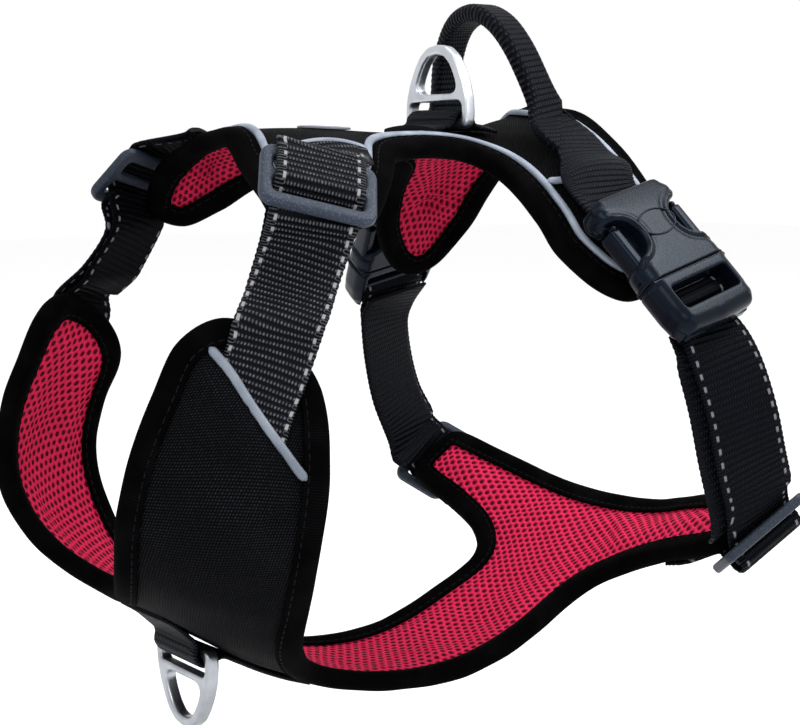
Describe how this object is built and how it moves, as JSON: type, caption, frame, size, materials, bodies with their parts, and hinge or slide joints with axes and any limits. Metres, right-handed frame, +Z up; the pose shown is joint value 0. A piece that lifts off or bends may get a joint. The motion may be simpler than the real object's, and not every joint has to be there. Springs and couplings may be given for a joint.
{
  "type": "dog harness",
  "caption": "Dog harness: padded back and chest panels lined with air mesh, webbing straps with sliders, side buckles, grab handle and leash rings front and back.",
  "frame": {"origin": "middle of the back panel, where it lies on the wearer's back, at the height of the back ring's bar", "axes": "+Z up, -Y the way the dog walks, +X the dog's left side"},
  "size_m": [0.1872, 0.2149, 0.2178],
  "materials": {
    "oxford": "matt woven oxford cloth",
    "air_mesh": "matt knitted air mesh",
    "binding": "matt woven tape",
    "piping": "reflective grey cloth over a cord",
    "webbing": "ribbed nylon webbing",
    "slider_plastic": "satin, finely speckled",
    "buckle_plastic": "satin, fine grain",
    "badge_plastic": "satin, pale",
    "aluminium": "satin with chamfered rims"
  },
  "bodies": {
    "harness": {"back_badge": "badge_plastic", "back_binding": "binding", "back_lining": "air_mesh", "back_piping": "piping", "back_ring_loop": "webbing", "back_shell": "oxford", "chest_tape": "webbing", "front_binding": "binding", "front_lining": "air_mesh", "front_shell": "oxford", "handle": "webbing", "left_belly_slider": "slider_plastic", "left_buckle_plug": "buckle_plastic", "left_buckle_socket": "buckle_plastic", "left_front_slit_piping": "piping", "left_girth_strap": "webbing", "left_girth_strap_inner": "webbing", "left_neck_slider": "slider_plastic", "left_neck_strap": "webbing", "left_neck_strap_inner": "webbing", "left_pocket_piping": "piping", "left_rear_slit_piping": "piping", "right_belly_slider": "slider_plastic", "right_buckle_plug": "buckle_plastic", "right_buckle_socket": "buckle_plastic", "right_front_slit_piping": "piping", "right_girth_strap": "webbing", "right_girth_strap_inner": "webbing", "right_neck_slider": "slider_plastic", "right_neck_strap": "webbing", "right_neck_strap_inner": "webbing", "right_pocket_piping": "piping", "right_rear_slit_piping": "piping"},
    "back_ring": {"back_ring": "aluminium"},
    "chest_ring": {"chest_ring": "aluminium"}
  },
  "joints": [
    {"name": "back_ring_swing", "type": "hinge", "parent": "harness", "child": "back_ring", "pos_m": [0, 0, 0.0011], "axis": [1, 0, 0], "range_deg": [-70, 70]},
    {"name": "chest_ring_swing", "type": "hinge", "parent": "harness", "child": "chest_ring", "pos_m": [0, -0.0937, -0.15242], "axis": [1, 0, 0], "range_deg": [-100, 45]}
  ]
}
